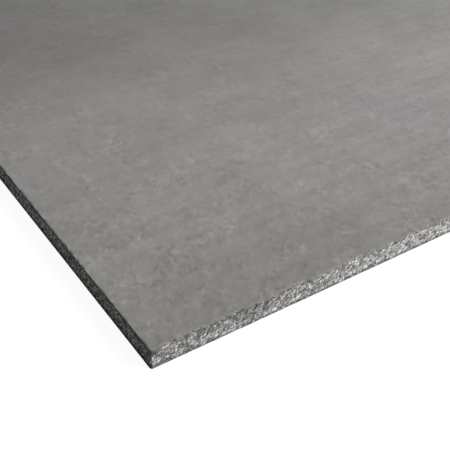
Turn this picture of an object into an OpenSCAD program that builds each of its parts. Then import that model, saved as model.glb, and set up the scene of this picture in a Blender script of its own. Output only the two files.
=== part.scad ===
// Cement board: one flat rectangular sheet with square cut edges.
// It lies on its back face, with its length along X, its width along Y and its face up.
// The origin is the middle of the back face.

/* [Sheet] */
// Length of the sheet, along X
sheet_length = 1200; // [600:50:2500]
// Width of the sheet, along Y
sheet_width = 900; // [400:50:1250]
// Thickness of the sheet, from the back to the face
sheet_thickness = 12.5; // [6:0.5:25]

/* [Cut edges] */
// Width of the worn flat along each arris, where a cut edge meets the face or the back
arris_ease = 0.3; // [0.1:0.1:1]
// Radius worn on each of the four upright corners
corner_radius = 1.5; // [1.2:0.1:10]

/* [Hidden] */
$fn = 96;

// Length and width that lie between the worn corners
straight_length = sheet_length - 2 * corner_radius;
straight_width = sheet_width - 2 * corner_radius;
cement_grey = "#8b8a86";

// Section through a cut edge: from an axis at zero out to the edge, with both arrises eased.
module edge_section(reach) {
    polygon([
        [0, 0],
        [reach - arris_ease, 0],
        [reach, arris_ease],
        [reach, sheet_thickness - arris_ease],
        [reach - arris_ease, sheet_thickness],
        [0, sheet_thickness]
    ]);
}

// Whole section across the sheet, with a cut edge at both ends, swept along Y.
module swept_section(reach, run) {
    rotate([90, 0, 0])
        linear_extrude(height = run, center = true) {
            edge_section(reach);
            mirror([1, 0]) edge_section(reach);
        }
}

// The same edge section turned a quarter round an upright corner, from +X to +Y.
module worn_corner() {
    rotate_extrude(angle = 90) edge_section(corner_radius);
}

// The four corners, each in its place and turned to face outwards.
module worn_corners() {
    for (quarter = [0 : 3]) {
        side_x = (quarter == 0 || quarter == 3) ? 1 : -1;
        side_y = quarter < 2 ? 1 : -1;
        translate([side_x * straight_length / 2, side_y * straight_width / 2, 0])
            rotate(90 * quarter) worn_corner();
    }
}

// The sheet: its section swept along both directions and closed by the corners.
module board() {
    color(cement_grey)
        union() {
            swept_section(sheet_length / 2, straight_width);
            rotate(90) swept_section(sheet_width / 2, straight_length);
            worn_corners();
        }
}

board();
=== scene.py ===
"""Looks of a cement board: cut edges of broken aggregate, a floated cement face, a studio and a camera.

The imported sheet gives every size. The visible piece is one closed mesh of that sheet: a node tree cuts
its edges inwards grain by grain, and the finish reads the same grains, so that tone and relief agree.
"""

import logging
import math
from dataclasses import dataclass, field
from enum import Enum
from functools import cached_property, partial, reduce

import bmesh
import bpy
import numpy as np
from mathutils import Matrix, Vector
from mathutils.geometry import delaunay_2d_cdt


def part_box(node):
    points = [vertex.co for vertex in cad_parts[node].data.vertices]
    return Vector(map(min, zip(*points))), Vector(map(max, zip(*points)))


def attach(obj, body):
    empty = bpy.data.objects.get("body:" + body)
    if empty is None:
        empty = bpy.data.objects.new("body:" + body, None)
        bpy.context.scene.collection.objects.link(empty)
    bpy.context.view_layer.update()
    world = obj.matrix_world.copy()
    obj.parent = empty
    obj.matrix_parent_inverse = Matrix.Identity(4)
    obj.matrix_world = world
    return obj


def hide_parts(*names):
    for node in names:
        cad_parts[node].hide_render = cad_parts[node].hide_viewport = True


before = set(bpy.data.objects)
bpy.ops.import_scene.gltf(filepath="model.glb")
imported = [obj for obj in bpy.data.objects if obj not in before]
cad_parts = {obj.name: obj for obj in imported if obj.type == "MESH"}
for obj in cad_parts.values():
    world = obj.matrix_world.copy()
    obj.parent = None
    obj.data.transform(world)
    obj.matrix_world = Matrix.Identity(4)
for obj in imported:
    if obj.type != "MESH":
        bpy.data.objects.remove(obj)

LOG = logging.getLogger("cement_board")
MM = 0.001
BODY = "root"
BOARD_NODE = "board"
BAKE_MAP = "OFBake"
# A cell holds a large grain where its own draw is above this
LARGE_GRAIN_FROM = 0.68
# How far a grain leans for each unit that it rises, and how much its width and height are squeezed
GRAIN_LEAN = 0.6
GRAIN_DRAWN = (1.2, 0.85)
# Nearly all noise lies in this range
NOISE_RANGE = (0.28, 0.72)

Socket = bpy.types.NodeSocket
Given = bpy.types.bpy_prop_collection
Plug = Socket | float | int | tuple
Range = tuple[float, float]
Triple = tuple[float, float, float]
# Seed, size and swing of one layer of clouds
Cloud = tuple[int, float, float]
# Seed, spacing, reach and half width of one lot of strokes
Stroke = tuple[int, float, float, float]


class Kind(Enum):
    """The socket types that the node trees use."""

    NUMBER = "NodeSocketFloat"
    VECTOR = "NodeSocketVector"
    MESH = "NodeSocketGeometry"
    MATERIAL = "NodeSocketMaterial"


class Filling(Enum):
    """Whether cells fill a plane or space."""

    PLANE = "2D"
    SPACE = "3D"


class Measure(Enum):
    """What is measured in a cell: how far off its middle is, or how far off its rim is."""

    MIDDLE = "F1"
    RIM = "DISTANCE_TO_EDGE"


class Bench:
    """Adds nodes to one tree, so that each step of a recipe reads as one line."""

    def __init__(self, tree: bpy.types.NodeTree) -> None:
        """Keeps the tree that the nodes go into."""
        self.tree = tree

    def add(self, kind: str, *values: Plug, **settings: object) -> bpy.types.Node:
        """Adds a node, sets its options and fills its inputs.

        Args:
            kind: The node's type name.
            values: What goes into its inputs, in order.
            settings: Options of the node, by attribute name.

        Returns:
            The new node.
        """
        node = self.tree.nodes.new(kind)
        for name, value in settings.items():
            setattr(node, name, value)
        for socket, value in zip(node.inputs, values):
            self.feed(socket, value)
        return node

    def feed(self, socket: Socket, value: Plug) -> None:
        """Links a socket to an input, or sets the input to a plain value.

        Args:
            socket: The input to fill.
            value: An output socket, a number or a tuple of numbers.
        """
        if isinstance(value, Socket):
            self.tree.links.new(value, socket)
        else:
            socket.default_value = value

    def fill(self, node: bpy.types.Node, **values: Plug) -> Given:
        """Fills a node's inputs by name.

        Args:
            node: The node.
            values: What goes into its inputs, by name.

        Returns:
            The node's outputs.
        """
        for name, value in values.items():
            self.feed(node.inputs[name], value)
        return node.outputs

    def math(self, operation: str, *values: Plug) -> Socket:
        """The result of a Math node's operation on numbers, taken in order."""
        return self.add("ShaderNodeMath", *values, operation=operation).outputs[0]

    def times(self, *values: Plug) -> Socket:
        """Multiplies numbers together."""
        return reduce(partial(self.math, "MULTIPLY"), values)

    def plus(self, *values: Plug) -> Socket:
        """Adds numbers together."""
        return reduce(partial(self.math, "ADD"), values)

    def less(self, first: Plug, second: Plug) -> Socket:
        """Takes the second number from the first."""
        return self.math("SUBTRACT", first, second)

    def pick(self, test: Socket, if_not: Plug, if_so: Plug) -> Socket:
        """The last number where the test is 1, and the one before it where the test is 0."""
        return self.plus(self.times(if_not, self.less(1.0, test)), self.times(if_so, test))

    def vector(self, operation: str, *values: Plug) -> Socket:
        """The result of a Vector Math node's operation on vectors, taken in order."""
        return self.add("ShaderNodeVectorMath", *values, operation=operation).outputs["Vector"]

    def scaled(self, value: Socket, factor: Plug) -> Socket:
        """A vector or colour times a number."""
        return self.fill(self.add("ShaderNodeVectorMath", value, operation="SCALE"), Scale=factor)["Vector"]

    def split(self, value: Socket) -> list[Socket]:
        """The X, Y and Z of a vector."""
        return list(self.add("ShaderNodeSeparateXYZ", value).outputs)

    def join(self, x: Plug, y: Plug, z: Plug) -> Socket:
        """A vector from its X, Y and Z."""
        return self.add("ShaderNodeCombineXYZ", x, y, z).outputs[0]

    def span(self, value: Plug, low: Plug, high: Plug, to_low: Plug = 0.0, to_high: Plug = 1.0) -> Socket:
        """Maps low and high to two other numbers, softly between them and level beyond."""
        sides = (low, high, to_low, to_high)
        return self.add("ShaderNodeMapRange", value, *sides, interpolation_type="SMOOTHSTEP").outputs[0]

    def scale_of(self, size: Plug) -> Plug:
        """The texture scale that gives blotches or cells of a size in metres."""
        return self.math("DIVIDE", 1.0, size) if isinstance(size, Socket) else 1.0 / size

    def noise(self, place: Plug, size: Plug, detail: Plug = 2.0, rough: Plug = 0.5) -> Socket:
        """Soft noise from 0 to 1: its blotches' size in metres, its finer layers and their strength."""
        node = self.add("ShaderNodeTexNoise", noise_dimensions="3D")
        return self.fill(node, Vector=place, Scale=self.scale_of(size), Detail=detail, Roughness=rough)[0]

    def cells(self, place: Plug, size: Plug, filling: Filling = Filling.SPACE,
              measure: Measure = Measure.MIDDLE) -> Given:
        """Cells packed like grains, of a width in metres: what is known of the one at a place, by name."""
        node = self.add("ShaderNodeTexVoronoi", voronoi_dimensions=filling.value, feature=measure.value)
        return self.fill(node, Vector=place, Scale=self.scale_of(size))

    def blend(self, share: Plug, first: Plug, second: Plug) -> Socket:
        """Mixes two colours.

        Args:
            share: How much of the second there is.
            first: The colour below.
            second: The colour above.

        Returns:
            The mixed colour.
        """
        node = self.add("ShaderNodeMix", data_type="RGBA", clamp_factor=True)
        named = {socket.identifier: socket for socket in node.inputs}
        for name, value in (("Factor_Float", share), ("A_Color", first), ("B_Color", second)):
            self.feed(named[name], (*value, 1.0) if isinstance(value, tuple) else value)
        return next(socket for socket in node.outputs if socket.identifier == "Result_Color")

    def cover(self, share: Plug, below: Socket, above: Socket) -> Socket:
        """Mixes two shaders, by how much of the upper one there is."""
        return self.add("ShaderNodeMixShader", share, below, above).outputs[0]

    def use(self, group: bpy.types.NodeTree, **values: Plug) -> Socket:
        """The one output of a shared effect, with its own values by name."""
        return self.fill(self.add("ShaderNodeGroup", node_tree=group), **values)[0]

    @cached_property
    def given(self) -> Given:
        """The tree's own inputs, by name."""
        return self.add("NodeGroupInput").outputs

    def give(self, value: Socket) -> bpy.types.NodeTree:
        """Sends a value to the tree's one output, and returns the finished tree."""
        self.add("NodeGroupOutput", value)
        return self.tree


def new_tree(name: str, family: str, inputs: dict[str, Kind],
             output: tuple[str, Kind]) -> bpy.types.NodeTree:
    """Starts a node group with named inputs and one output.

    Args:
        name: The group's name.
        family: The type of tree.
        inputs: The inputs' names and types.
        output: The output's name and type.

    Returns:
        The empty group.
    """
    tree = bpy.data.node_groups.new(name, family)
    for label, kind in inputs.items():
        tree.interface.new_socket(label, in_out="INPUT", socket_type=kind.value)
    tree.interface.new_socket(output[0], in_out="OUTPUT", socket_type=output[1].value)
    return tree


def skin_depth(bench: Bench, spot: Socket, depth: Plug) -> Socket:
    """How thick the dense skin under the face is at a spot on a cut edge: ragged, about a mean depth."""
    ragged = bench.span(bench.noise(spot, 5 * MM, 3.0, 0.6), 0.3, 0.7, 0.0, 2.0)
    return bench.times(depth, ragged)


def grain_place(bench: Bench, spot: Socket) -> Socket:
    """Where a spot on a cut edge lies among its grains, which stand taller than wide and lean to one side.

    Args:
        bench: The bench of the tree that asks.
        spot: The place on the edge, in metres.

    Returns:
        The place among the grains, with the edges unrolled.
    """
    x, y, z = bench.split(spot)
    along = bench.less(bench.less(x, y), bench.times(z, GRAIN_LEAN))
    return bench.join(bench.times(along, GRAIN_DRAWN[0]), 0.0, bench.times(z, GRAIN_DRAWN[1]))


def seeded(seed: int) -> Triple:
    """A fixed far-off place in the noise for a seed, in metres."""
    return tuple(float(x) for x in np.random.default_rng(seed).uniform(-3.0, 3.0, 3))


def show(name: str, data: bpy.types.ID) -> bpy.types.Object:
    """Puts a new object into the scene, at the origin.

    Args:
        name: The object's name.
        data: Its mesh, lamp or camera data.

    Returns:
        The object.
    """
    made = bpy.data.objects.new(name, data)
    bpy.context.scene.collection.objects.link(made)
    return made


@dataclass(frozen=True)
class SheetSize:
    """The sheet's sizes in metres: its box from the frame, and the wear on its edges."""

    length: float
    width: float
    thickness: float
    arris: float = 0.3 * MM
    corner_radius: float = 1.5 * MM

    @classmethod
    def of_node(cls, node: str) -> "SheetSize":
        """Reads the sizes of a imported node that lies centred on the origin."""
        low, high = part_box(node)
        return cls(*(high - low))

    def corner(self) -> Vector:
        """The lower corner nearest the camera."""
        return Vector((-self.length / 2, -self.width / 2, 0.0))


@dataclass
class CutEdgeRelief:
    """The tree that breaks the cut edges: domed and lost grains, tight skins, a ragged upper arris."""

    size: SheetSize
    grain: float = 1.6 * MM
    large_grain: float = 2.4 * MM
    grain_rise: float = 0.70 * MM
    grain_step: float = 0.45 * MM
    void_depth: float = 0.80 * MM
    grit: float = 0.20 * MM
    face_skin: float = 1.1 * MM
    back_skin: float = 1.1 * MM
    chip: float = 2.4 * MM
    chip_depth: float = 1.2 * MM
    chip_reach: float = 1.9 * MM
    end_chip_share: float = 0.12
    back_chip_share: float = 0.08
    lost_from: tuple[float, float] = (0.80, 0.90)
    flaked_range: Range = (0.40, 0.60)
    corner_clear: Range = (2 * MM, 5 * MM)
    seed: int = 7

    def apply_to(self, strip: bpy.types.Object, finish: bpy.types.Material) -> None:
        """Adds the relief to a strip as a modifier with its own sizes.

        Args:
            strip: The plain rim of the sheet.
            finish: The material that the tree sets.
        """
        values = {"Length": self.size.length, "Width": self.size.width, "Thickness": self.size.thickness}
        own = {name: value for name, value in vars(self).items() if isinstance(value, float)}
        values |= {name.replace("_", " ").title(): value for name, value in own.items()}
        kinds = {"Geometry": Kind.MESH} | {name: Kind.NUMBER for name in values}
        kinds |= {"Seed Place": Kind.VECTOR, "Finish": Kind.MATERIAL}
        tree = new_tree("cut_edge_relief", "GeometryNodeTree", kinds, ("Geometry", Kind.MESH))
        self._fill(Bench(tree))
        values |= {"Seed Place": seeded(self.seed), "Finish": finish}
        modifier = strip.modifiers.new("cut_edge_relief", "NODES")
        modifier.node_group = tree
        for item in tree.interface.items_tree:
            if item.in_out == "INPUT" and item.name in values:
                modifier[item.identifier] = values[item.name]

    def _fill(self, bench: Bench) -> None:
        """Builds the tree: every point moves in along its normal by the depth of the relief there.

        Args:
            bench: The bench of the empty tree.
        """
        given = bench.given
        place = bench.add("GeometryNodeInputPosition").outputs[0]
        facing = bench.add("GeometryNodeInputNormal").outputs[0]
        depth = self._depth(bench, place, facing)
        inwards = bench.scaled(facing, bench.times(depth, -1.0))
        moved = bench.fill(bench.add("GeometryNodeSetPosition"), Geometry=given["Geometry"], Offset=inwards)
        whole = bench.add("GeometryNodeRealizeInstances", moved[0]).outputs[0]
        dressed = bench.fill(bench.add("GeometryNodeSetMaterial"), Geometry=whole, Material=given["Finish"])
        bench.give(dressed[0])

    def _depth(self, bench: Bench, place: Socket, facing: Socket) -> Socket:
        """Works out how deep the surface is cut at each point.

        Args:
            bench: The tree's bench.
            place: The point before it moves.
            facing: The outward normal there.

        Returns:
            The depth in metres.
        """
        given = bench.given
        z = bench.split(place)[2]
        on_edge = bench.less(1.0, bench.math("ABSOLUTE", bench.split(facing)[2]))
        spot = bench.vector("ADD", place, given["Seed Place"])
        from_face = bench.less(given["Thickness"], z)
        under = bench.less(from_face, skin_depth(bench, spot, given["Face Skin"]))
        below_skin = bench.span(under, -0.2 * MM, 0.5 * MM)
        core = bench.times(below_skin, bench.span(z, self.size.arris, given["Back Skin"]))
        grit = bench.times(bench.noise(spot, 0.8 * MM, 2.0, 0.6), given["Grit"])
        broken = bench.plus(bench.times(self._grains(bench, spot), core), grit)
        return bench.plus(bench.times(broken, on_edge), self._chips(bench, place, spot))

    def _grains(self, bench: Bench, spot: Socket) -> Socket:
        """How far behind the sawn plane the grains lie: domes, sunken grains and hollows of lost ones.

        Args:
            bench: The tree's bench.
            spot: The place in the grain.

        Returns:
            The depth in metres.
        """
        given = bench.given
        dome_fall, lost_fade, hollow_reach = 1.6, 0.08, 0.5
        heaps = []
        for size, lost_from in zip((given["Grain"], given["Large Grain"]), self.lost_from):
            grains = bench.cells(grain_place(bench, spot), size)
            lost, sunk, mixed = bench.split(grains["Color"])
            away = bench.times(grains["Distance"], grains["Distance"])
            dome = bench.times(bench.math("MINIMUM", bench.times(away, dome_fall), 1.0), given["Grain Rise"])
            step = bench.times(sunk, sunk, given["Grain Step"])
            missing = bench.span(lost, lost_from, lost_from + lost_fade)
            void = bench.times(missing, bench.span(away, 0.0, hollow_reach, 1.0, 0.0), given["Void Depth"])
            heaps.append(bench.plus(dome, step, void))
        large = bench.math("GREATER_THAN", mixed, LARGE_GRAIN_FROM)
        return bench.pick(large, *heaps)

    def _chips(self, bench: Bench, place: Socket, spot: Socket) -> Socket:
        """How deep the flakes off the arrises are: most on the upper arris of the long sides.

        Args:
            bench: The tree's bench.
            place: The point before it moves.
            spot: The place in the grain.

        Returns:
            The depth in metres.
        """
        given = bench.given
        x, y, z = bench.split(place)
        inset_x = bench.less(bench.times(given["Length"], 0.5), bench.math("ABSOLUTE", x))
        inset_y = bench.less(bench.times(given["Width"], 0.5), bench.math("ABSOLUTE", y))
        inset = bench.math("MINIMUM", inset_x, inset_y)
        gap = bench.math("MINIMUM", z, bench.less(given["Thickness"], z))
        from_arris = bench.math("SQRT", bench.plus(bench.times(gap, gap), bench.times(inset, inset)))
        near = bench.span(from_arris, 0.0, given["Chip Reach"], 1.0, 0.0)
        flakes = bench.cells(bench.vector("ADD", spot, seeded(self.seed + 1)), given["Chip"])
        flaked = bench.span(bench.split(flakes["Color"])[0], *self.flaked_range)
        patches = bench.span(bench.noise(spot, 14 * MM, 2.0, 0.6), 0.40, 0.60, 0.35, 1.0)
        upper = bench.span(z, 0.0, given["Thickness"], given["Back Chip Share"], 1.0)
        on_side = bench.span(bench.less(inset_x, inset_y), -0.1 * MM, 0.1 * MM, given["End Chip Share"], 1.0)
        off_corner = bench.span(bench.math("MAXIMUM", inset_x, inset_y), *self.corner_clear)
        share = bench.times(upper, on_side)
        return bench.times(flaked, patches, near, share, off_corner, given["Chip Depth"])


@dataclass
class Board:
    """The sheet: its rim of fine cells is broken by the relief, thinned, and closed by level faces."""

    size: SheetSize
    cell: float = 0.55 * MM
    face_rows: tuple[float, ...] = (3.2 * MM, 2.3 * MM, 1.6 * MM, 1.0 * MM)
    face_grid: float = 50 * MM
    corner_mitre: float = 0.9
    corner_steps: int = 4
    level_within: float = 0.04 * MM
    sliver: float = 0.002 * MM
    same_spot: float = 1e-9
    strip_triangles: int = 185_000
    relief: CutEdgeRelief = field(init=False)

    def __post_init__(self) -> None:
        """Sizes the relief to the sheet."""
        self.relief = CutEdgeRelief(self.size)

    def build(self, finish: bpy.types.Material) -> bpy.types.Object:
        """Makes the finished board.

        Args:
            finish: The cement material.

        Returns:
            The board, as a plain closed mesh at the origin.
        """
        strip = show("edge_strip", self._strip())
        self.relief.apply_to(strip, finish)
        thin = strip.modifiers.new("thin", "DECIMATE")
        thin.use_collapse_triangulate = True
        thin.ratio = min(1.0, self.strip_triangles / (2 * len(strip.data.polygons)))
        graph = bpy.context.evaluated_depsgraph_get()
        mesh = bpy.data.meshes.new_from_object(strip.evaluated_get(graph), depsgraph=graph)
        plain = strip.data
        bpy.data.objects.remove(strip)
        bpy.data.meshes.remove(plain)
        mesh.name = "cement_board"
        self._close(mesh)
        BakeLayout(self.size).lay_out(mesh)
        return show("cement_board", mesh)

    def _outline(self) -> tuple[np.ndarray, np.ndarray, np.ndarray]:
        """The sheet's outline, anticlockwise from above.

        Returns:
            Points, outward normals, and each point's distance from the nearest worn corner.
        """
        radius = self.size.corner_radius
        half = np.array([self.size.length, self.size.width]) / 2
        points, normals, from_corner = [], [], []
        for quarter in range(4):
            turn = -math.pi / 2 + quarter * math.pi / 2
            out = np.array([round(math.cos(turn)), round(math.sin(turn))])
            along = np.array([-out[1], out[0]])
            run = 2 * abs(along @ (half - radius))
            reach = abs(out @ half)
            count = round(run / self.cell)
            way = np.linspace(0.0, run, count, endpoint=False)
            points.append(out * reach + along * (way - run / 2)[:, None])
            normals.append(np.tile(out.astype(float), (count, 1)))
            from_corner.append(np.minimum(way, run - way))
            bends = max(self.corner_steps, round(math.pi / 2 * radius / self.cell))
            angle = turn + np.linspace(0.0, math.pi / 2, bends, endpoint=False)
            spoke = np.stack([np.cos(angle), np.sin(angle)], axis=1)
            centre = out * (reach - radius) + along * run / 2
            points.append(centre + spoke * radius)
            normals.append(spoke)
            from_corner.append(np.zeros(bends))
        return np.concatenate(points), np.concatenate(normals), np.concatenate(from_corner)

    def _section(self) -> np.ndarray:
        """The section through an edge, from the face round to the back.

        Returns:
            Rows of inset from the outline and height above the floor.
        """
        top, arris = self.size.thickness, self.size.arris
        upper = [(inset, top) for inset in self.face_rows] + [(arris, top), (arris / 2, top - arris / 2)]
        count = round((top - 2 * arris) / self.cell)
        cut = [(0.0, height) for height in np.linspace(top - arris, arris, count + 1)]
        lower = [(inset, top - height) for inset, height in reversed(upper)]
        return np.array(upper + cut + lower)

    def _strip(self) -> bpy.types.Mesh:
        """The sheet's rim before it is broken, from a little way in on the face to the same on the back.

        Returns:
            A mesh with two open rims.
        """
        outline, normals, from_corner = self._outline()
        section = self._section()
        columns, rows = len(outline), len(section)
        deepest = self.corner_mitre * self.size.corner_radius + from_corner
        inset = np.minimum(section[:, 0][:, None], deepest[None, :])
        places = np.empty((rows, columns, 3))
        places[:, :, :2] = outline[None] - normals[None] * inset[:, :, None]
        places[:, :, 2] = section[:, 1][:, None]
        index = np.arange(rows * columns).reshape(rows, columns)
        onward = np.roll(index, -1, axis=1)
        quads = np.stack([index[:-1], index[1:], onward[1:], onward[:-1]], axis=-1).reshape(-1, 4)
        mesh = bpy.data.meshes.new("edge_strip")
        mesh.from_pydata(places.reshape(-1, 3).tolist(), [], quads.tolist())
        return mesh

    def _close(self, mesh: bpy.types.Mesh) -> None:
        """Trues the thinned strip to the sheet's box and fills its two rims with level faces.

        Args:
            mesh: The thinned strip, which becomes the closed board.
        """
        top = self.size.thickness
        reach = (self.size.length / 2, self.size.width / 2)
        work = bmesh.new()
        work.from_mesh(mesh)
        for vert in work.verts:
            x, y = (max(-r, min(r, c)) for c, r in zip(vert.co, reach))
            z = vert.co.z
            z = top if z > top - self.level_within else 0.0 if z < self.level_within else z
            vert.co = (x, y, z)
        for rim in self._rims(work):
            self._fill(work, rim)
        bmesh.ops.dissolve_degenerate(work, dist=self.sliver, edges=work.edges)
        bmesh.ops.triangulate(work, faces=work.faces)
        for face in work.faces:
            heights = {vert.co.z for vert in face.verts}
            face.smooth = len(heights) > 1
        work.to_mesh(mesh)
        work.free()

    def _rims(self, work: bmesh.types.BMesh) -> list[list[bmesh.types.BMVert]]:
        """Finds the open rims.

        Args:
            work: The open strip.

        Returns:
            Each rim's points, in the order that a face filling it takes them.
        """
        onward = {}
        for edge in work.edges:
            if edge.is_boundary:
                loop = edge.link_loops[0]
                onward[loop.link_loop_next.vert] = loop.vert
        rims = []
        while onward:
            start = next(iter(onward))
            rim, vert = [start], onward.pop(start)
            while vert is not start:
                rim.append(vert)
                vert = onward.pop(vert)
            rims.append(rim)
        return rims

    def _fill(self, work: bmesh.types.BMesh, rim: list[bmesh.types.BMVert]) -> None:
        """Fills a rim with a level face of even triangles.

        Args:
            work: The strip.
            rim: The rim's points in order.
        """
        upper = rim[0].co.z > self.size.thickness / 2
        height, sense = (self.size.thickness, 1.0) if upper else (0.0, -1.0)
        for vert in rim:
            vert.co.z = height
        spans = [np.linspace(-extent / 2, extent / 2, round(extent / self.face_grid) + 1)[1:-1]
                 for extent in (self.size.length, self.size.width)]
        inner = np.stack(np.meshgrid(*spans), axis=-1).reshape(-1, 2)
        verts = rim + [work.verts.new((x, y, height)) for x, y in inner]
        spots = [Vector((sense * vert.co.x, vert.co.y)) for vert in verts]
        made = delaunay_2d_cdt(spots, [], [list(range(len(rim)))], 1, self.same_spot)
        for triangle in made[2]:
            work.faces.new([verts[made[3][corner][0]] for corner in triangle])


@dataclass(frozen=True)
class BakeLayout:
    """Where each part of the board lies on its own flat map: face, back, and the edges as eight strips."""

    size: SheetSize
    margin: float = 0.006
    face_scale: float = 0.61
    back_scale: float = 0.26
    along_scale: float = 1.62
    across_scale: float = 2.4
    strip_pitch: float = 0.05
    strips_from: float = 0.585
    below_strip: float = 3.4 * MM
    turn_within: float = 1.5 * MM

    def lay_out(self, mesh: bpy.types.Mesh) -> None:
        """Gives a mesh of triangles its flat map.

        Args:
            mesh: The closed board.
        """
        places = np.empty(len(mesh.vertices) * 3)
        mesh.vertices.foreach_get("co", places)
        index = np.empty(len(mesh.loops), dtype=np.int32)
        mesh.loops.foreach_get("vertex_index", index)
        corners = places.reshape(-1, 3)[index].reshape(-1, 3, 3)
        spots = self._strips(corners)
        heights = corners[:, :, 2]
        level = np.ptp(heights, axis=1) == 0.0
        on_face = level & (heights[:, 0] > self.size.thickness / 2)
        on_back = level & (heights[:, 0] < self.size.thickness / 2)
        half = np.array([self.size.length, self.size.width]) / 2
        spots[on_face] = (corners[on_face][:, :, :2] + half) * self.face_scale + self.margin
        turned = corners[on_back][:, :, 1::-1] + half[::-1]
        start = np.array([self.size.length * self.face_scale + 2.5 * self.margin, self.margin])
        spots[on_back] = turned * self.back_scale + start
        layer = mesh.uv_layers.new(name=BAKE_MAP)
        layer.data.foreach_set("uv", spots.reshape(-1).astype(np.float32))

    def _strips(self, corners: np.ndarray) -> np.ndarray:
        """Unrolls the edges.

        Args:
            corners: The corners of every triangle.

        Returns:
            The map's place of each corner, as if every triangle lay on an edge.
        """
        half = np.array([self.size.length, self.size.width]) / 2
        middle = corners.mean(axis=1)
        insets = half - np.abs(middle[:, :2])
        on_end = insets[:, 0] < insets[:, 1]
        across = np.where(on_end, 0, 1)
        along = 1 - across
        row = np.arange(len(corners))
        side = (middle[row, across] > 0).astype(int)
        second = (middle[row, along] > 0).astype(int)
        strip = on_end * 4 + side * 2 + second
        way = corners[row, :, along] + half[along][:, None] * (1 - second)[:, None]
        mirrored = (on_end == (side == 0))[:, None]
        way = np.where(mirrored, half[along][:, None] - way, way)
        inset = half[across][:, None] - np.abs(corners[row, :, across])
        mid = self.size.thickness / 2
        lift = corners[:, :, 2] - mid
        turn = np.clip((np.abs(lift) - (mid - self.turn_within)) / self.turn_within, 0.0, 1.0)
        climb = lift + mid + np.sign(lift) * turn * inset
        across_map = self.strips_from + strip[:, None] * self.strip_pitch
        across_map = across_map + (climb + self.below_strip) * self.across_scale
        return np.stack([2 * self.margin + way * self.along_scale, across_map], axis=-1)


class Effects:
    """Node groups that the cement uses more than once, each with its own values where it is used."""

    def __init__(self) -> None:
        """Builds the groups."""
        self.mottle = self._mottle()
        self.flecks = self._flecks()
        self.strokes = self._strokes()

    def _start(self, name: str, output: str, *numbers: str) -> tuple[Bench, Given]:
        """Starts a group that reads a place and some numbers, and puts out one number.

        Args:
            name: The group's name.
            output: The output's name.
            numbers: The names of the numbers that it reads.

        Returns:
            The group's bench, and its inputs by name.
        """
        inputs = {"Place": Kind.VECTOR} | {label: Kind.NUMBER for label in numbers}
        bench = Bench(new_tree(name, "ShaderNodeTree", inputs, (output, Kind.NUMBER)))
        return bench, bench.given

    def _mottle(self) -> bpy.types.NodeTree:
        """Soft blotches of tone about 1.

        Returns:
            The group.
        """
        bench, given = self._start("mottle", "Tone", "Size", "Detail", "Rough", "Swing")
        noise = bench.noise(given["Place"], given["Size"], given["Detail"], given["Rough"])
        swing = bench.times(bench.span(noise, *NOISE_RANGE, -1.0, 1.0), given["Swing"])
        return bench.give(bench.plus(swing, 1.0))

    def _flecks(self) -> bpy.types.NodeTree:
        """Scattered round specks on a level face, of different sizes and depths.

        Returns:
            The group.
        """
        bench, given = self._start("flecks", "Mask", "Spacing", "Radius", "Share")
        cells = bench.cells(given["Place"], given["Spacing"], Filling.PLANE)
        chance, growth, depth = bench.split(cells["Color"])
        there = bench.math("LESS_THAN", chance, given["Share"])
        radius = bench.times(given["Radius"], bench.plus(bench.times(growth, growth, 1.2), 0.4))
        away = bench.times(cells["Distance"], given["Spacing"])
        spot = bench.span(bench.math("DIVIDE", away, radius), 0.4, 1.0, 1.0, 0.0)
        return bench.give(bench.times(there, spot, bench.plus(bench.times(depth, 0.6), 0.4)))

    def _strokes(self) -> bpy.types.NodeTree:
        """Short curved strokes turned every way, some paler and some darker than what they lie on.

        Returns:
            The group.
        """
        bench, given = self._start("strokes", "Mark", "Spacing", "Reach", "Thin")
        cells = bench.cells(given["Place"], given["Spacing"], Filling.PLANE)
        turn, lot, bend = bench.split(cells["Color"])
        x, y, _ = bench.split(bench.vector("SUBTRACT", given["Place"], cells["Position"]))
        angle = bench.times(turn, math.pi)
        cosine = bench.math("COSINE", angle)
        sine = bench.math("SINE", angle)
        run = bench.plus(bench.times(x, cosine), bench.times(y, sine))
        along = bench.math("DIVIDE", run, given["Reach"])
        across = bench.less(bench.times(y, cosine), bench.times(x, sine))
        bow = bench.times(along, along, bench.less(bend, 0.5), given["Reach"])
        off = bench.math("DIVIDE", bench.math("ABSOLUTE", bench.plus(across, bow)), given["Thin"])
        body = bench.span(off, 0.0, 1.0, 1.0, 0.0)
        ends = bench.span(bench.math("ABSOLUTE", along), 0.4, 1.0, 1.0, 0.0)
        return bench.give(bench.times(body, ends, bench.less(bench.times(lot, 2.0), 1.0)))


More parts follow.
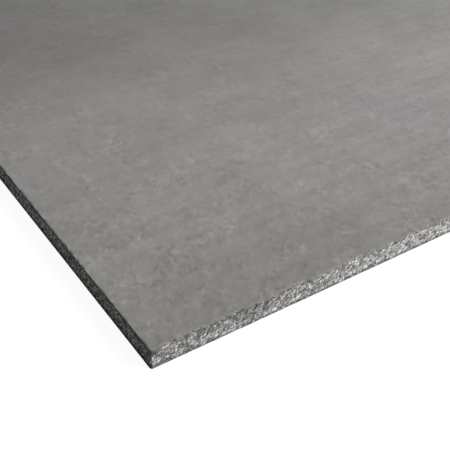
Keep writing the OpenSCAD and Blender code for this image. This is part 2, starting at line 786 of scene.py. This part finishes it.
@dataclass(frozen=True)
class CementFinish:
    """Grey cement: a floated face with faint lines of its mesh, and open aggregate where it is cut."""

    size: SheetSize
    relief: CutEdgeRelief
    effects: Effects
    face: Triple = (0.256, 0.248, 0.239)
    warm: Triple = (1.0, 1.0, 0.975)
    cool: Triple = (1.0, 1.0, 1.025)
    pale_grain: Triple = (0.86, 0.85, 0.828)
    dark_grain: Triple = (0.205, 0.2, 0.193)
    palest: Triple = (0.9, 0.89, 0.87)
    # Colour of the painted shade in the seams and hollows of a cut edge
    crevice: Triple = (0.05, 0.048, 0.045)
    gloss: float = 0.2
    face_roughness: float = 0.78
    edge_roughness: float = 0.92
    arris_zone: Range = (0.03 * MM, 0.22 * MM)
    sides_apart: float = 40.0
    # The broad clouds are partly the cement's own mottle and partly painted light falloff across the board
    clouds: tuple[Cloud, ...] = ((1314, 240 * MM, 0.136), (1758, 150 * MM, 0.037))
    edge_clouds: tuple[Cloud, ...] = ((582, 140 * MM, 0.16),)
    rough_patches: tuple[Cloud, ...] = ((611, 500 * MM, 0.35),)
    mesh_patches: tuple[Cloud, ...] = ((197, 350 * MM, 0.5),)
    worked_seed: int = 423
    worked_range: Range = (0.40, 0.66)
    worked_gain: Range = (0.32, 1.65)
    stroke_gain: Range = (0.75, 1.25)
    speck_seed: int = 22
    tint_seed: int = 238
    mesh_pitch: float = 24.65 * MM
    yarns: tuple[float, ...] = (2.95 * MM, 11.75 * MM)
    yarn_reach: float = 6.0 * MM
    yarn_wander: float = 5 * MM
    float_slant: float = math.radians(36.0)
    float_draw: float = 0.6
    strokes: tuple[Stroke, ...] = (
        (21, 3.0 * MM, 2.2 * MM, 0.9 * MM),
        (24, 4.0 * MM, 3.0 * MM, 1.2 * MM),
        (25, 6.0 * MM, 4.2 * MM, 1.6 * MM),
    )
    pit_tone: float = -0.21
    speck_tone: float = 0.2
    stroke_tone: float = 0.072
    line_tone: float = -0.065
    fine_height: float = 0.012 * MM
    wave_height: float = 0.16 * MM
    line_height: float = -0.04 * MM
    pit_height: float = -0.11 * MM
    stroke_height: float = 0.02 * MM
    edge_height: float = 0.12 * MM
    crumb: float = 0.9 * MM
    crumb_share: float = 0.35
    grain_contrast: float = 0.9
    # Painted shade between the grains and behind the sawn plane: where it starts and how strongly it darkens
    seam_range: Range = (0.02, 0.17)
    seam_dark: float = 0.75
    hollow_range: Range = (0.6 * MM, 1.5 * MM)
    skin_range: Range = (-0.2 * MM, 0.25 * MM)
    # Painted shade on the short ends: more grain contrast, darker overall, at the foot and just below the
    # face
    end_contrast: float = 1.2
    end_shade: float = 0.1
    end_foot: float = 0.34
    foot_range: Range = (2.2 * MM, 4.6 * MM)
    end_head: float = 0.22
    head_below_face: Range = (5 * MM, 2 * MM)
    drift_range: Range = (1.0 * MM, 2.8 * MM)
    # Tone of each pressed layer by share of the height; the lowest three stops are painted shade along the
    # foot, where the lower arris turns under by the floor
    layers: tuple[tuple[float, float], ...] = (
        (0.0, 0.42), (0.07, 0.62), (0.12, 0.88), (0.17, 1.36), (0.25, 1.40), (0.38, 1.16),
        (0.47, 1.01), (0.60, 1.24), (0.75, 1.18), (0.92, 1.09), (1.0, 0.99),
    )
    top_layer: float = 1.5

    def material(self) -> bpy.types.Material:
        """Builds the material.

        Returns:
            The finished cement.
        """
        made = bpy.data.materials.new("cement")
        made.use_nodes = True
        bench = Bench(made.node_tree)
        place = bench.add("ShaderNodeTexCoord").outputs["Object"]
        x, y, z = bench.split(place)
        sheet = bench.join(x, y, bench.times(z, self.sides_apart))
        gap = bench.math("MINIMUM", z, bench.less(self.size.thickness, z))
        opened = bench.span(gap, *self.arris_zone)
        face_colour, face_height = self._face(bench, sheet)
        edge_colour, edge_height = self._edge(bench, place, face_colour)
        # Partly painted light falloff: the broad clouds pale and darken the face and the cut edges alike
        clouds = self._clouds(bench, place, self.clouds)
        colour = bench.scaled(bench.blend(opened, face_colour, edge_colour), clouds)
        roughness = bench.span(opened, 0.0, 1.0, self.face_roughness, self.edge_roughness)
        height = bench.pick(opened, face_height, edge_height)
        bump = bench.fill(bench.add("ShaderNodeBump"), Distance=1.0, Height=height)[0]
        looks = {"Base Color": colour, "Roughness": roughness, "Normal": bump}
        looks["Specular IOR Level"] = self.gloss
        bench.fill(made.node_tree.nodes["Principled BSDF"], **looks)
        return made

    def _clouds(self, bench: Bench, place: Socket, clouds: tuple[Cloud, ...]) -> Socket:
        """Broad paler and darker areas that run through the sheet.

        Args:
            bench: The material's bench.
            place: The point on the board.
            clouds: The seed, size and swing of each layer of clouds.

        Returns:
            The tone, about 1.
        """
        x, y, _ = bench.split(place)
        flat = bench.join(x, y, 0.5)
        tone = 1.0
        for seed, size, swing in clouds:
            spot = bench.vector("ADD", flat, seeded(seed))
            cloud = bench.use(self.effects.mottle, Place=spot, Size=size, Detail=1.0, Rough=0.5, Swing=swing)
            tone = bench.times(tone, cloud)
        return tone

    def _face(self, bench: Bench, sheet: Socket) -> tuple[Socket, Socket]:
        """The floated face.

        Args:
            bench: The material's bench.
            sheet: The point on the board, with its height stretched so that face and back differ.

        Returns:
            Its colour, and its fine height in metres.
        """
        rough = self._clouds(bench, sheet, self.rough_patches)
        worked = bench.noise(bench.vector("ADD", sheet, seeded(self.worked_seed)), 16 * MM, 2.0, 0.6)
        strength = bench.times(rough, bench.span(worked, *self.worked_range, *self.worked_gain))
        even = bench.times(rough, rough, bench.span(worked, *self.worked_range, *self.stroke_gain))
        meshed = self._clouds(bench, sheet, self.mesh_patches)
        lines = bench.times(self._mesh_lines(bench, sheet), meshed)
        strokes = self._strokes(bench, sheet)
        pits = bench.use(self.effects.flecks, Place=sheet, Spacing=9 * MM, Radius=0.8 * MM, Share=0.14)
        elsewhere = bench.vector("ADD", sheet, seeded(self.speck_seed))
        specks = bench.use(self.effects.flecks, Place=elsewhere, Spacing=12 * MM, Radius=0.8 * MM, Share=0.3)

        tone = bench.use(self.effects.mottle, Place=sheet, Size=34 * MM, Detail=2.0, Rough=0.6,
                         Swing=bench.less(0.075, bench.times(rough, 0.03)))
        x, y, z = bench.split(sheet)
        drawn = bench.join(x, bench.times(y, 0.2), z)
        streaks = bench.times(bench.less(1.6, meshed), 0.035)
        for spot, size, swing in ((sheet, 9 * MM, 0.036), (sheet, 4.5 * MM, 0.03), (drawn, 5 * MM, streaks)):
            blotch = bench.use(self.effects.mottle, Place=spot, Size=size, Detail=1.0, Rough=0.6,
                               Swing=bench.times(strength, swing))
            tone = bench.times(tone, blotch)
        # Pits are darkened as painted shade inside them; specks are paler
        spots = bench.plus(bench.times(pits, self.pit_tone), bench.times(specks, self.speck_tone))
        marks = bench.plus(bench.times(spots, strength), bench.times(strokes, even, self.stroke_tone),
                           bench.times(lines, rough, self.line_tone), 1.0)
        hue = bench.noise(bench.vector("ADD", sheet, seeded(self.tint_seed)), 170 * MM, 1.0, 0.5)
        tint = bench.blend(bench.span(hue, *NOISE_RANGE), self.warm, self.cool)
        colour = bench.scaled(bench.vector("MULTIPLY", tint, self.face), bench.times(tone, marks))
        height = bench.plus(bench.times(bench.noise(sheet, 1.6 * MM, 1.0, 0.5), self.fine_height),
                            bench.times(bench.noise(sheet, 6 * MM, 1.0, 0.6), self.wave_height),
                            bench.times(lines, self.line_height), bench.times(pits, self.pit_height),
                            bench.times(strokes, self.stroke_height))
        return colour, bench.times(height, strength)

    def _strokes(self, bench: Bench, sheet: Socket) -> Socket:
        """Short strokes left by the float, drawn out along its slant.

        Args:
            bench: The material's bench.
            sheet: The point on the board.

        Returns:
            How pale or dark the strokes make each point, about 0.
        """
        turn = bench.add("ShaderNodeVectorRotate", sheet, rotation_type="Z_AXIS")
        turned = bench.fill(turn, Angle=self.float_slant)[0]
        slanted = bench.vector("MULTIPLY", turned, (1.0, self.float_draw, 1.0))
        total = 0.0
        for seed, spacing, reach, thin in self.strokes:
            spot = bench.vector("ADD", slanted, seeded(seed))
            lot = bench.use(self.effects.strokes, Place=spot, Spacing=spacing, Reach=reach, Thin=thin)
            total = bench.plus(lot, total)
        return total

    def _mesh_lines(self, bench: Bench, sheet: Socket) -> Socket:
        """Faint lines along the sheet, in pairs, where the yarns of the mesh lie close under the face.

        Args:
            bench: The material's bench.
            sheet: The point on the board.

        Returns:
            How strongly a line shows, from 0 to 1.
        """
        wander = bench.times(bench.less(bench.noise(sheet, 30 * MM), 0.5), self.yarn_wander)
        way = bench.plus(bench.split(sheet)[1], wander, self.size.width / 2)
        total = 0.0
        for start in self.yarns:
            off = bench.math("PINGPONG", bench.less(way, start), self.mesh_pitch / 2)
            total = bench.plus(bench.span(off, 0.0, self.yarn_reach, 1.0, 0.0), total)
        patches = bench.span(bench.noise(sheet, 14 * MM, 2.0, 0.6), 0.35, 0.65, 0.4, 1.0)
        return bench.times(total, patches)

    def _edge(self, bench: Bench, place: Socket, face_colour: Socket) -> tuple[Socket, Socket]:
        """The broken aggregate of a cut edge, with painted shade in the seams between its grains and in its
        hollows.

        Args:
            bench: The material's bench.
            place: The point on the board.
            face_colour: The colour of the face, which its skin shares.

        Returns:
            Its colour, and its fine height in metres.
        """
        sawn, inset, on_end = self._sawn_place(bench, place)
        spot = bench.vector("ADD", sawn, seeded(self.relief.seed))
        tone, rim = self._grains(bench, spot)
        rough = self._clouds(bench, place, self.rough_patches)
        # Painted shade: the short ends get a stronger grain contrast in place of their shading
        end_shade_gain = bench.plus(1.0, bench.times(on_end, self.end_contrast))
        contrast = bench.times(end_shade_gain, rough, self.grain_contrast)
        tone = bench.plus(bench.times(bench.less(tone, 0.5), contrast), 0.5)
        from_face = bench.less(self.size.thickness, bench.split(place)[2])
        # Painted shade: seams between grains and hollows behind the sawn plane darken towards the crevice
        # colour
        seam_shade = bench.span(rim, *self.seam_range, self.seam_dark, 0.0)
        buried = bench.math("MINIMUM", inset, from_face)
        hollow_shade = bench.math("MAXIMUM", seam_shade, bench.span(buried, *self.hollow_range))
        heap = bench.blend(hollow_shade, bench.blend(tone, self.dark_grain, self.pale_grain), self.crevice)
        under = bench.less(from_face, skin_depth(bench, spot, self.relief.face_skin))
        skin = bench.span(under, *self.skin_range, 1.0, 0.0)
        level = self._level(bench, place, spot, on_end)
        colour = bench.scaled(bench.blend(skin, heap, face_colour), level)
        colour = bench.vector("MINIMUM", colour, self.palest)
        return colour, bench.times(bench.noise(sawn, 0.5 * MM, 2.0, 0.6), self.edge_height)

    def _grains(self, bench: Bench, spot: Socket) -> tuple[Socket, Socket]:
        """The same grains that the relief breaks, each with its own tone and finer crumbs.

        Args:
            bench: The material's bench.
            spot: The place in the grain.

        Returns:
            The tone from 0 to 1, and how far off the grain's rim is.
        """
        grain = grain_place(bench, spot)
        tones, rims = [], []
        for size in (self.relief.grain, self.relief.large_grain):
            hue, _, mixed = bench.split(bench.cells(grain, size)["Color"])
            tones.append(hue)
            rims.append(bench.cells(grain, size, measure=Measure.RIM)["Distance"])
        large = bench.math("GREATER_THAN", mixed, LARGE_GRAIN_FROM)
        shade = bench.pick(large, *tones)
        crumb = bench.split(bench.cells(grain, self.crumb)["Color"])[0]
        tone = bench.plus(bench.times(bench.less(1.0, shade), 1.0 - self.crumb_share),
                          bench.times(crumb, self.crumb_share))
        return tone, bench.pick(large, *rims)

    def _level(self, bench: Bench, place: Socket, spot: Socket, on_end: Socket) -> Socket:
        """How pale a cut edge is: its pressed layers with painted shade at the foot, broad drift and wear,
        and painted shade on the short ends.

        Args:
            bench: The material's bench.
            place: The point on the board.
            spot: The place in the grain.
            on_end: 1 on a short end, and 0 on a long side.

        Returns:
            The level, about 1.
        """
        height = bench.split(place)[2]
        layer = bench.add("ShaderNodeValToRGB", bench.math("DIVIDE", height, self.size.thickness))
        self._stops(layer.color_ramp)
        level = bench.times(bench.split(layer.outputs[0])[0], self.top_layer)
        drift = bench.less(self._clouds(bench, place, self.edge_clouds), 1.0)
        drift = bench.plus(bench.times(drift, bench.span(height, *self.drift_range)), 1.0)
        wear = bench.use(self.effects.mottle, Place=spot, Size=12 * MM, Detail=2.0, Rough=0.5, Swing=0.08)
        # Painted shade on the short ends: darker at the foot, just below the face, and overall
        foot_shade = bench.span(height, *self.foot_range, self.end_foot, 0.0)
        head_shade_range = (self.size.thickness - gap for gap in self.head_below_face)
        head_shade = bench.span(height, *head_shade_range, 0.0, self.end_head)
        shade = bench.times(on_end, bench.plus(foot_shade, head_shade, self.end_shade))
        return bench.times(level, bench.times(wear, drift), bench.less(1.0, shade))

    def _stops(self, ramp: bpy.types.ColorRamp) -> None:
        """Sets the tone of the pressed layers from the back to the face, as shares of the top tone, with
        painted shade at the foot in the lowest stops.

        Args:
            ramp: The ramp to fill.
        """
        while len(ramp.elements) < len(self.layers):
            ramp.elements.new(0.5)
        for stop, (height, tone) in zip(ramp.elements, self.layers):
            stop.position = height
            share = tone / self.top_layer
            stop.color = (share, share, share, 1.0)

    def _sawn_place(self, bench: Bench, place: Socket) -> tuple[Socket, Socket, Socket]:
        """Finds where a point on a cut edge was before the relief moved it.

        Args:
            bench: The material's bench.
            place: The point on the board.

        Returns:
            The point on the sawn plane, its depth behind that plane, and whether that is a short end.
        """
        x, y, _ = bench.split(place)
        inset_x = bench.less(self.size.length / 2, bench.math("ABSOLUTE", x))
        inset_y = bench.less(self.size.width / 2, bench.math("ABSOLUTE", y))
        on_end = bench.math("LESS_THAN", inset_x, inset_y)
        push_x = bench.times(bench.math("SIGN", x), inset_x, on_end)
        push_y = bench.times(bench.math("SIGN", y), inset_y, bench.less(1.0, on_end))
        sawn = bench.vector("ADD", place, bench.join(push_x, push_y, 0.0))
        return sawn, bench.math("MINIMUM", inset_x, inset_y), on_end


@dataclass
class Studio:
    """A pale floor, one soft lamp to the right of the camera, even light around, and the camera itself."""

    size: SheetSize
    camera_from_corner: Triple = (-115.5 * MM, -210.2 * MM, 261.1 * MM)
    yaw: float = math.radians(36.162)
    pitch: float = math.radians(36.460)
    roll: float = math.radians(2.869)
    lens_mm: float = 60.13
    sensor_mm: float = 36.0
    nearest: float = 10 * MM
    lamp_from_corner: Triple = (863 * MM, -724 * MM, 862 * MM)
    lamp_aim_from_corner: Triple = (230 * MM, 180 * MM, 0.0)
    lamp_side: float = 0.9
    lamp_watts: float = 27.0
    around: float = 0.18
    floor_side: float = 40.0
    floor_drop: float = 0.05 * MM
    floor_tone: float = 0.12
    floor_glow: float = 0.935
    contact: float = 0.2 * MM

    def build(self) -> None:
        """Makes the camera, the lamp, the light around and the floor."""
        self._camera()
        self._lamp()
        self._world()
        self._floor()

    def _camera(self) -> None:
        """Places the camera above the near corner, looking down across the face."""
        data = bpy.data.cameras.new("camera")
        data.lens = self.lens_mm
        data.sensor_width = self.sensor_mm
        data.clip_start = self.nearest
        camera = show("camera", data)
        turn = (Matrix.Rotation(-self.yaw, 4, "Z") @ Matrix.Rotation(math.pi / 2 - self.pitch, 4, "X")
                @ Matrix.Rotation(self.roll, 4, "Z"))
        place = self.size.corner() + Vector(self.camera_from_corner)
        camera.matrix_world = Matrix.Translation(place) @ turn
        bpy.context.scene.camera = camera

    def _lamp(self) -> None:
        """Hangs the soft lamp and aims it at the near part of the board."""
        data = bpy.data.lights.new("softbox", "AREA")
        data.shape = "SQUARE"
        data.size = self.lamp_side
        data.energy = self.lamp_watts
        lamp = show("softbox", data)
        lamp.location = self.size.corner() + Vector(self.lamp_from_corner)
        aim = self.size.corner() + Vector(self.lamp_aim_from_corner) - lamp.location
        lamp.rotation_euler = aim.to_track_quat("-Z", "Y").to_euler()
        lamp.visible_camera = False

    def _world(self) -> None:
        """Lights evenly from all round, and shows white to the camera."""
        world = bpy.data.worlds.new("studio")
        world.use_nodes = True
        bpy.context.scene.world = world
        bench = Bench(world.node_tree)
        strength = bench.span(seen_ray(bench), 0.0, 1.0, self.around, 1.0)
        bench.fill(world.node_tree.nodes["Background"], Color=(1.0, 1.0, 1.0, 1.0), Strength=strength)

    def _floor(self) -> None:
        """Lays a floor that shows white with a soft shadow and throws little light back up."""
        half = self.floor_side / 2
        low = -self.floor_drop
        corners = [(-half, -half, low), (half, -half, low), (half, half, low), (-half, half, low)]
        mesh = bpy.data.meshes.new("floor")
        mesh.from_pydata(corners, [], [(0, 1, 2, 3)])
        mesh.materials.append(self._floor_finish())
        floor = show("floor", mesh)

    def _floor_finish(self) -> bpy.types.Material:
        """White to the eye with a soft shadow, dull to the light, and clear from below.

        Rays from the board's back meet the floor within the contact gap. They pass it, so that the light
        around reaches the back.

        Returns:
            The floor's material.
        """
        made = bpy.data.materials.new("pale_floor")
        made.use_nodes = True
        tree = made.node_tree
        tree.nodes.remove(tree.nodes["Principled BSDF"])
        bench = Bench(tree)
        tone = (self.floor_tone, self.floor_tone, self.floor_tone, 1.0)
        matt = bench.add("ShaderNodeBsdfDiffuse", tone).outputs[0]
        glow = bench.fill(bench.add("ShaderNodeEmission"), Strength=self.floor_glow)[0]
        upper = bench.cover(seen_ray(bench), matt, bench.add("ShaderNodeAddShader", matt, glow).outputs[0])
        from_below = bench.add("ShaderNodeNewGeometry").outputs["Backfacing"]
        ray_length = bench.add("ShaderNodeLightPath").outputs["Ray Length"]
        clear = bench.math("MAXIMUM", from_below, bench.math("LESS_THAN", ray_length, self.contact))
        sided = bench.cover(clear, upper, bench.add("ShaderNodeBsdfTransparent").outputs[0])
        bench.feed(tree.nodes["Material Output"].inputs["Surface"], sided)
        return made


def seen_ray(bench: Bench) -> Socket:
    """1 for rays from the camera, a mirror or glass, and 0 for rays that only carry light.

    Args:
        bench: The bench of the tree that asks.

    Returns:
        The test's result.
    """
    path = bench.add("ShaderNodeLightPath").outputs
    seen = bench.math("MAXIMUM", path["Is Camera Ray"], path["Is Glossy Ray"])
    return bench.math("MAXIMUM", seen, path["Is Transmission Ray"])


def main() -> None:
    """Builds the board and its studio in order."""
    logging.basicConfig(level=logging.INFO, format="%(name)s: %(message)s")
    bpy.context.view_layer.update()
    bpy.context.scene.view_settings.view_transform = "Standard"
    size = SheetSize.of_node(BOARD_NODE)
    Studio(size).build()
    sheet = Board(size)
    board = sheet.build(CementFinish(size, sheet.relief, Effects()).material())
    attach(board, BODY)
    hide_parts(BOARD_NODE)
    LOG.info("%s: %d triangles", board.name, len(board.data.polygons))


if __name__ == "__main__":
    main()
